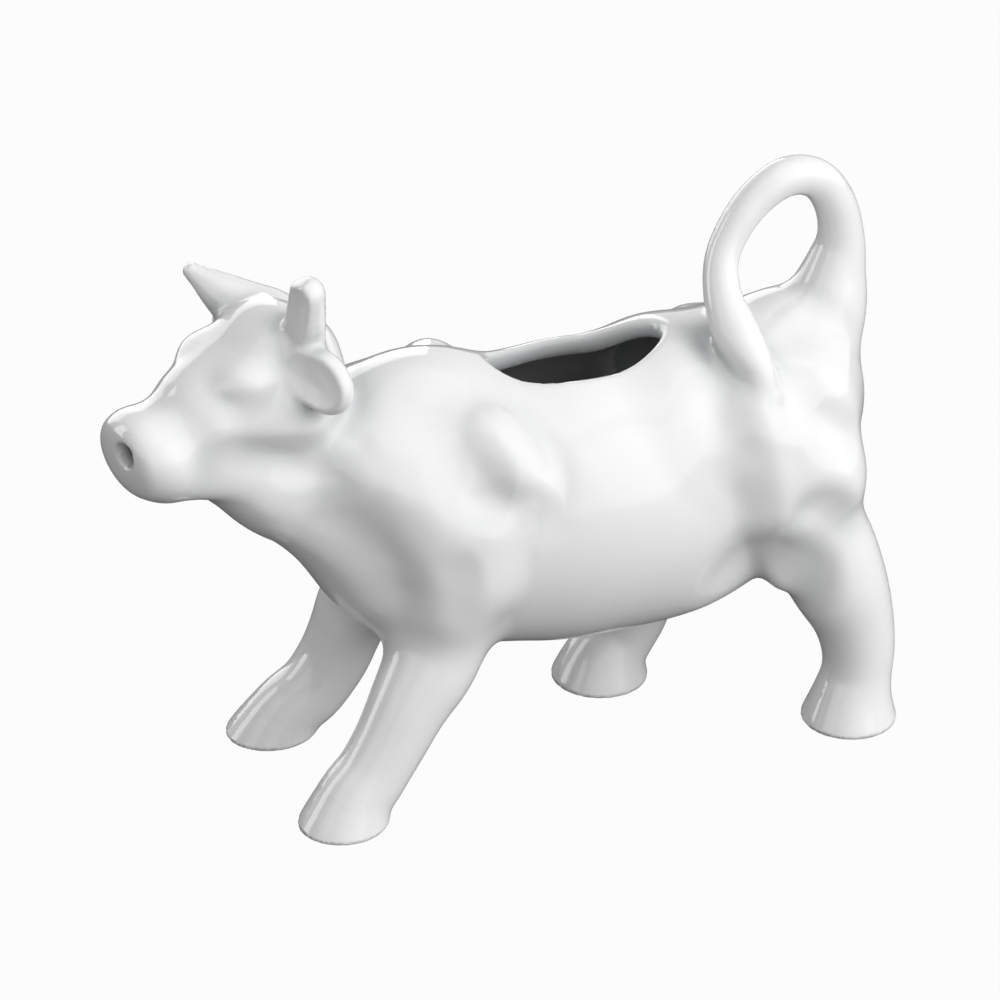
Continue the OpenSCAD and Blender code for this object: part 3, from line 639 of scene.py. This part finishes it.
# Glaze: one dip of clear glaze over white clay. It runs thick in the creases, where it is a
# little cooler and carries painted shade, lies in faint waves and is wiped off the soles; deep inside it is
# painted near black as painted shade.
def glaze_and_painted_shade_marks(p, way):
    """How far the skin is painted near black inside (painted shade), darkened in creases (painted shade with
    some glaze pooling) or wiped bare, at points whose skin faces that way.
    """
    bore = spout(p) < 0.5
    # Painted shade: the skin deep in the hollow and in the bore gets a share of near black
    inside = np.clip((-outside(p) - np.where(bore, 0.9, 3.4)) / np.where(bore, 3, 1.2), 0, 1)
    # Painted shade with some real glaze pooling: concave skin is darkened towards a cool grey
    pooled_glaze_and_crease_shade = np.clip((5 - outside(p + 5 * way)) / 4, 0, 1) * (inside == 0)
    bare = np.clip(1 - p[:, 2] / 0.5, 0, 1)
    return {"painted_shade_inside": inside, "pooled_glaze_and_crease_shade": pooled_glaze_and_crease_shade, "bare": bare}


glaze = bpy.data.materials.new("porcelain_glaze")
glaze.use_nodes = True
nodes, links = glaze.node_tree.nodes, glaze.node_tree.links
shader = nodes["Principled BSDF"]
shader.inputs["IOR"].default_value = 1.5


def mark(name):
    node = nodes.new("ShaderNodeAttribute")
    node.attribute_name = name
    return node.outputs["Fac"]


def blend(share, a, b):
    """A colour that goes from a to b with the share: either may be a socket."""
    node = nodes.new("ShaderNodeMix")
    node.data_type = "RGBA"
    links.new(share, node.inputs["Factor"])
    for socket, value in ((node.inputs[6], a), (node.inputs[7], b)):
        if isinstance(value, tuple):
            socket.default_value = value
        else:
            links.new(value, socket)
    return node.outputs[2]


def grain(scale, detail):
    node = nodes.new("ShaderNodeTexNoise")
    node.inputs["Scale"].default_value = scale
    node.inputs["Detail"].default_value = detail
    links.new(coordinates.outputs["Object"], node.inputs["Vector"])
    return node.outputs["Fac"]


coordinates = nodes.new("ShaderNodeTexCoord")
clouds = blend(grain(45, 3), (0.82, 0.822, 0.82, 1), (0.8, 0.801, 0.797, 1))
# Painted shade in the creases: a darker, cooler grey that also stands for thicker glaze
pooled_and_shaded = blend(mark("pooled_glaze_and_crease_shade"), clouds, (0.5, 0.515, 0.52, 1))
wiped = blend(mark("bare"), pooled_and_shaded, (0.62, 0.6, 0.56, 1))
# Painted shade: the base colour goes to near black deep inside the hollow and the bore
links.new(blend(mark("painted_shade_inside"), wiped, (0.012, 0.012, 0.013, 1)), shader.inputs["Base Color"])
dull = nodes.new("ShaderNodeMapRange")
dull.inputs["To Min"].default_value = 0.05
dull.inputs["To Max"].default_value = 0.11
links.new(grain(90, 4), dull.inputs["Value"])
dry = nodes.new("ShaderNodeMath")
dry.operation = "MULTIPLY_ADD"
dry.inputs[1].default_value = 0.7
links.new(mark("bare"), dry.inputs[0])
links.new(dull.outputs["Result"], dry.inputs[2])
links.new(dry.outputs[0], shader.inputs["Roughness"])
waves, peel = nodes.new("ShaderNodeBump"), nodes.new("ShaderNodeBump")
waves.inputs["Distance"].default_value = 0.00025
waves.inputs["Strength"].default_value = 0.5
links.new(grain(70, 1), waves.inputs["Height"])
peel.inputs["Distance"].default_value = 0.00002
peel.inputs["Strength"].default_value = 0.35
links.new(grain(700, 2), peel.inputs["Height"])
links.new(waves.outputs["Normal"], peel.inputs["Normal"])
links.new(peel.outputs["Normal"], shader.inputs["Normal"])

# The whole is brought to the size of the castings, which the melted joins overstep by a hair
skin_low, skin_high = points.min(0), points.max(0)
for number, name in enumerate(["trunk_shell", "head_shell", *limbs]):
    places, ways, rings = casting(faces[owner == number])
    fitted = box_low + (places - skin_low) * (box_high - box_low) / (skin_high - skin_low)
    mesh = bpy.data.meshes.new("glazed_" + name)
    mesh.from_pydata((fitted / 1000).tolist(), [], rings)
    mesh.validate()
    for label, values in glaze_and_painted_shade_marks(places, ways).items():
        mesh.attributes.new(label, "FLOAT", "POINT").data.foreach_set("value", values.astype(np.float32))
    mesh.shade_smooth()
    mesh.normals_split_custom_set_from_vertices(ways.tolist())
    mesh.materials.append(glaze)
    glazed = bpy.data.objects.new("glazed_" + name, mesh)
    bpy.context.scene.collection.objects.link(glazed)
    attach(glazed, "root")
    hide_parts(name)

# Studio: a plain pale floor, that shows white to the camera and keeps a faint shadow,
# a plain white surround and plain soft lamps.
floor_mesh = bpy.data.meshes.new("floor")
floor_mesh.from_pydata([(-3, -3, 0), (3, -3, 0), (3, 3, 0), (-3, 3, 0)], [], [(0, 1, 2, 3)])
floor = bpy.data.objects.new("floor", floor_mesh)
bpy.context.scene.collection.objects.link(floor)
floor_paint = bpy.data.materials.new("floor_paint")
floor_paint.use_nodes = True
nodes, links = floor_paint.node_tree.nodes, floor_paint.node_tree.links
paint = nodes["Principled BSDF"]
paint.inputs["Base Color"].default_value = (0.12, 0.12, 0.12, 1)
paint.inputs["Roughness"].default_value = 0.9
paint.inputs["Specular IOR Level"].default_value = 0
white = nodes.new("ShaderNodeEmission")
white.inputs["Strength"].default_value = 1
path = nodes.new("ShaderNodeLightPath")
share = nodes.new("ShaderNodeMath")
share.operation = "MULTIPLY"
share.inputs[1].default_value = 0.97
links.new(path.outputs["Is Camera Ray"], share.inputs[0])
mix = nodes.new("ShaderNodeMixShader")
links.new(share.outputs[0], mix.inputs[0])
links.new(paint.outputs[0], mix.inputs[1])
links.new(white.outputs[0], mix.inputs[2])
links.new(mix.outputs[0], nodes["Material Output"].inputs["Surface"])
floor_mesh.materials.append(floor_paint)

world = bpy.data.worlds.new("studio")
bpy.context.scene.world = world
world.use_nodes = True
nodes, links = world.node_tree.nodes, world.node_tree.links
background = nodes["Background"]
path = nodes.new("ShaderNodeLightPath")
seen = nodes.new("ShaderNodeMath")
seen.operation, seen.use_clamp = "ADD", True
links.new(path.outputs["Is Camera Ray"], seen.inputs[0])
mirrored = nodes.new("ShaderNodeMath")
links.new(path.outputs["Is Glossy Ray"], mirrored.inputs[0])
links.new(path.outputs["Is Transmission Ray"], mirrored.inputs[1])
links.new(mirrored.outputs[0], seen.inputs[1])
strength = nodes.new("ShaderNodeMapRange")
strength.inputs["To Min"].default_value = 0.33
strength.inputs["To Max"].default_value = 1
links.new(seen.outputs[0], strength.inputs["Value"])
links.new(strength.outputs["Result"], background.inputs["Strength"])
background.inputs["Color"].default_value = (1, 1, 1, 1)


lamp_aim = Vector((0, 0, 0.05))


def lamp(name, place, size, watts, **seen):
    data = bpy.data.lights.new(name, "AREA")
    data.shape = "RECTANGLE"
    data.size, data.size_y = size
    data.energy = watts
    lit = bpy.data.objects.new(name, data)
    lit.location = place
    lit.rotation_euler = (lamp_aim - Vector(place)).to_track_quat("-Z", "Y").to_euler()
    for ray, on in seen.items():
        setattr(lit, "visible_" + ray, on)
    bpy.context.scene.collection.objects.link(lit)


lamp("overhead", (0.1, -0.1, 1.0), (1.2, 0.9), 2.4)
lamp("front_right", (0.75, -0.75, 0.42), (1.0, 0.9), 11, glossy=False)
lamp("front_right_glow", (0.8, -0.8, 0.5), (1.4, 1.2), 3, diffuse=False)
lamp("front", (-0.35, -0.95, 0.4), (0.9, 0.8), 2.2, glossy=False)
lamp("left", (-0.9, -0.3, 0.4), (0.5, 0.7), 1.0)
lamp("left_strip", (-0.85, 0.45, 0.3), (0.3, 0.9), 3, diffuse=False)
lamp("behind", (-0.1, 0.95, 0.28), (1.0, 0.7), 4.5)
bpy.context.scene.view_settings.view_transform = "Standard"
